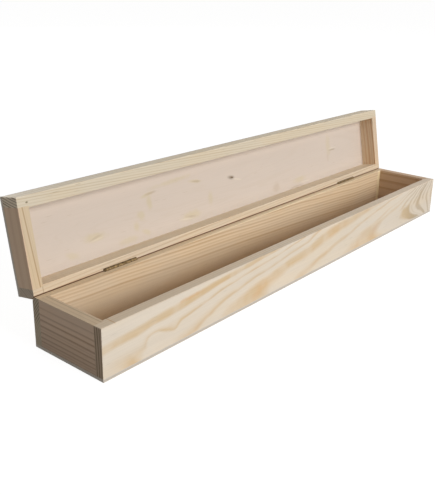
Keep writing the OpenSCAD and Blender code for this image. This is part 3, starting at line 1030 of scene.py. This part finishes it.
def makePlywoodMaterial(name):
    material, tree, shader = newMaterial("birchPly_" + name)
    place = closedCoordinates(tree, name)
    wood = useGroup(tree, fibreGroup, {"Vector": place, "Seed": plywood["seeds"][name]})
    veneer = veneerColour(tree, name, place, wood)
    low, high = closedBox(name)
    y, z = splitXYZ(tree, place)[1:3]
    layers = useGroup(tree, plyGroup, {
        "Vector": place, "Through": mapRange(tree, z, low.z, high.z), "Plies": plywood["plies"],
        "Turned": facingAlong(tree, *plywood["edgeFacing"])})
    edge = mixColour(tree, layers["Core"], srgb(*plywood["edgeFace"]), srgb(*plywood["edgeCore"]))
    streaked = times(tree, layers["Streaks"], plywood["coreStreaks"])
    edge = mixColour(tree, streaked, edge, srgb(*plywood["edgeCore"]))
    edge = mixColour(tree, times(tree, layers["Glue"], plywood["glueDepth"]), edge, srgb(*plywood["glue"]))
    # only the rim of the sheet shows its plies, not the skin of either face
    fromFace = mathNode(tree, "MINIMUM", minus(tree, z, low.z), minus(tree, high.z, z))
    onEdge = smoothStep(tree, fromFace, plywood["skin"] * 0.4, plywood["skin"] * 1.6)
    colour = mixColour(tree, onEdge, veneer, edge)
    tone = woodTone(tree, wood, 1.0, plywood["shades"])
    if name == "lid_panel":
        # painted light by the front rail and painted shade by the back rail
        for margin in ("paintedLightMargin", "paintedShadeMargin"):
            tone = times(tree, tone, smoothStep(tree, y, *plywood[margin]))
    rough = timesPlus(tree, wood["Streaks"], plywood["streakRoughness"], plywood["roughness"])
    sunk = times(tree, layers["Glue"], times(tree, onEdge, plywood["glueSunk"]))
    relief = minus(tree, wood["Streaks"], sunk)
    finishShader(tree, shader, shade(tree, colour, tone), rough, relief, plywood["bump"])
    shader.inputs["Specular IOR Level"].default_value = plywood["specular"]
    return material


def makePlywood():
    for name in ("base_bottom", "lid_panel"):
        piece = cleanCopy(name, camelName(name) + "Sheet")
        roundArrises(piece, name)
        dress(piece, makePlywoodMaterial(name), "plywood", name)


makePlywood()
print("plywood made")


hinges = {
    "bronze": (140, 116, 80), "worn": (182, 156, 110), "dark": (84, 66, 42),
    "metallic": 0.75, "roughness": 0.42, "patches": 260.0,
    "edge": 0.00012, "sharpFrom": 38,  # edges of more degrees than this are eased this much
}
tarnish = {
    "rubbedScale": 2.6, "grainScale": 14.0,  # against the scale of the patches
    "patches": (0.38, 0.66), "rubbed": (0.52, 0.70), "rubbedDepth": 0.5,
    "patchRoughness": 0.15, "grainRoughness": 0.1, "bump": {"Strength": 0.3, "Distance": 0.00005},
}


def makeTarnishGroup():
    # dull patches and rubbed spots on bare metal
    tree, given, wanted = newGroup("tarnish", {"Vector": (0, 0, 0), "Scale": 300.0}, {
        "Patches": "Float", "Rubbed": "Float", "Grain": "Float"})
    place, scale = {"Vector": given["Vector"]}, given["Scale"]
    patches = noise(tree, place, scale, 4.0)["Fac"]
    rubbed = noise(tree, place, times(tree, scale, tarnish["rubbedScale"]), 2.0)["Fac"]
    grain = noise(tree, place, times(tree, scale, tarnish["grainScale"]), 3.0)["Fac"]
    feedAll(tree, wanted, {"Patches": smoothStep(tree, patches, *tarnish["patches"]),
                           "Rubbed": smoothStep(tree, rubbed, *tarnish["rubbed"]), "Grain": grain})
    return tree


tarnishGroup = makeTarnishGroup()


def makeMetalMaterial(name, spec, plain):
    material, tree, shader = newMaterial(name)
    place = addNode(tree, "ShaderNodeTexCoord").outputs["Object"]
    metal = useGroup(tree, tarnishGroup, {"Vector": place, "Scale": spec["patches"]})
    colour = mixColour(tree, metal["Patches"], srgb(*spec[plain]), srgb(*spec["dark"]))
    rubbed = times(tree, metal["Rubbed"], tarnish["rubbedDepth"])
    colour = mixColour(tree, rubbed, colour, srgb(*spec["worn"]))
    rough = timesPlus(tree, metal["Patches"], tarnish["patchRoughness"], spec["roughness"])
    rough = timesPlus(tree, metal["Grain"], tarnish["grainRoughness"], rough)
    finishShader(tree, shader, colour, rough, metal["Grain"], tarnish["bump"])
    shader.inputs["Metallic"].default_value = spec["metallic"]
    return material


def makeHinges():
    bronze = makeMetalMaterial("darkBronze", hinges, "bronze")
    sharp = math.radians(hinges["sharpFrom"])
    for side in ("left", "right"):
        for part in ("base_leaf", "lid_leaf", "pin"):
            name = f"{side}_hinge_{part}"
            piece = cleanCopy(name, camelName(name) + "Metal")
            piece.data.shade_smooth()
            piece.data.set_sharp_from_angle(angle=sharp)
            edges = piece.modifiers.new("softEdge", "BEVEL")
            edges.limit_method = "ANGLE"
            edges.angle_limit = sharp
            edges.width = hinges["edge"]
            edges.segments = 2
            edges.harden_normals = True
            dress(piece, bronze, "hinge_metal", name)


makeHinges()
print("hinges made")


brads = {
    "headRadius": 0.00119, "headHeight": 0.00056, "shankRadius": 0.0007, "length": 0.016, "point": 0.0014,
    "headSides": 20, "shankSides": 12,
    "sunk": 0.00003,                  # how far the heads lie under the wood
    "crown": 0.25, "crownTop": 0.84,  # the share of the head's height that tapers, and what is left on top
    "steel": (140, 139, 138), "worn": (176, 174, 170), "dark": (96, 90, 82), "metallic": 0.9,
    "roughness": 0.35, "patches": 420.0,
}


def makeBradTree():
    # one brad, its head's top at the origin and its point down, set on every point it is given
    tree, given, wanted = newGroup("bradSet", {
        "Points": "Geometry", "Head Radius": "Float", "Head Height": "Float", "Shank Radius": "Float",
        "Length": "Float", "Point Length": "Float", "Material": "Material"},
        {"Brads": "Geometry"}, "GeometryNodeTree")

    def ring(sides, top, bottom, depth, down):
        cone = addNode(tree, "GeometryNodeMeshCone", {
            "Vertices": sides, "Radius Top": top, "Radius Bottom": bottom, "Depth": depth})
        place = joinXYZ(tree, 0.0, 0.0, times(tree, down, -1.0))
        return addNode(tree, "GeometryNodeTransform", {
            "Geometry": cone.outputs["Mesh"], "Translation": place}).outputs[0]

    radius, height = given["Head Radius"], given["Head Height"]
    thin, point, length = given["Shank Radius"], given["Point Length"], given["Length"]
    crown = times(tree, height, brads["crown"])
    shankEnd = minus(tree, length, point)
    parts = [
        ring(brads["headSides"], times(tree, radius, brads["crownTop"]), radius, crown, crown),
        ring(brads["headSides"], radius, radius, minus(tree, height, crown), height),
        ring(brads["shankSides"], thin, thin, minus(tree, shankEnd, height), shankEnd),
        ring(brads["shankSides"], thin, 0.0, point, length),
    ]
    whole = tree.nodes.new("GeometryNodeJoinGeometry")
    for part in parts:
        tree.links.new(part, whole.inputs[0])
    outward, size = (addNode(tree, "GeometryNodeInputNamedAttribute", {"Name": label},
                             data_type="FLOAT_VECTOR").outputs[0] for label in ("outward", "size"))
    turn = addNode(tree, "FunctionNodeAlignRotationToVector", {"Vector": outward}, axis="Z").outputs[0]
    placed = addNode(tree, "GeometryNodeInstanceOnPoints", {
        "Points": given["Points"], "Instance": whole.outputs[0], "Rotation": turn, "Scale": size})
    real = addNode(tree, "GeometryNodeRealizeInstances", {"Geometry": placed.outputs[0]})
    finish = addNode(tree, "GeometryNodeSetMaterial", {
        "Geometry": real.outputs[0], "Material": given["Material"]})
    tree.links.new(finish.outputs[0], wanted["Brads"])
    return tree


def bradSpots(nodeName, outward):
    # each solid brad's head, the way it faces, and its size against the usual one
    closing = closingMatrix(nodeName)
    opening = closing.inverted()
    axis = max(range(3), key=lambda n: abs(outward[n]))
    work = mergedMesh(nodeName)
    left, spots = set(work.verts), []
    while left:
        island, queue = [], [left.pop()]
        while queue:
            vert = queue.pop()
            island.append(closing @ vert.co)
            for edge in vert.link_edges:
                other = edge.other_vert(vert)
                if other in left:
                    left.remove(other)
                    queue.append(other)
        low, high = boundsOf(island)
        spot = (low + high) / 2
        spot[axis] = (high[axis] if outward[axis] > 0 else low[axis]) - outward[axis] * brads["sunk"]
        wide = (high - low)[(axis + 1) % 3] / 2 / brads["headRadius"]
        long = (high - low)[axis] / brads["length"]
        spots.append((opening @ spot, opening.to_3x3() @ Vector(outward), (wide, wide, long)))
    work.free()
    return spots


def makeBrads():
    steel = makeMetalMaterial("bradSteel", brads, "steel")
    tree = makeBradTree()
    values = {"Head Radius": brads["headRadius"], "Head Height": brads["headHeight"],
              "Shank Radius": brads["shankRadius"], "Length": brads["length"],
              "Point Length": brads["point"], "Material": steel}
    sockets = {item.name: item.identifier for item in tree.interface.items_tree if item.in_out == "INPUT"}
    for body, sheet, away in (("base", "base_bottom_brads", -1), ("lid", "lid_panel_brads", 1)):
        hingeSets = [f"{side}_hinge_{body}_brads" for side in ("left", "right")]
        spots = bradSpots(sheet, (0, 0, away))
        for name in hingeSets:
            spots += bradSpots(name, (0, 1, 0))
        mesh = bpy.data.meshes.new(body + "Brads")
        mesh.from_pydata([spot[0] for spot in spots], [], [])
        for label, column in (("outward", 1), ("size", 2)):
            field = mesh.attributes.new(label, "FLOAT_VECTOR", "POINT")
            for item, spot in zip(field.data, spots):
                item.vector = spot[column]
        piece = newObject(body + "Brads", mesh)
        setting = piece.modifiers.new("bradSet", "NODES")
        setting.node_group = tree
        for label, value in values.items():
            setting[sockets[label]] = value
        finished = piece.evaluated_get(bpy.context.evaluated_depsgraph_get())
        solid = bpy.data.meshes.new_from_object(finished)
        piece.modifiers.clear()
        piece.data = solid
        dress(piece, steel, "brad_steel", sheet, *hingeSets)
        print(body, "brads:", len(spots))


makeBrads()
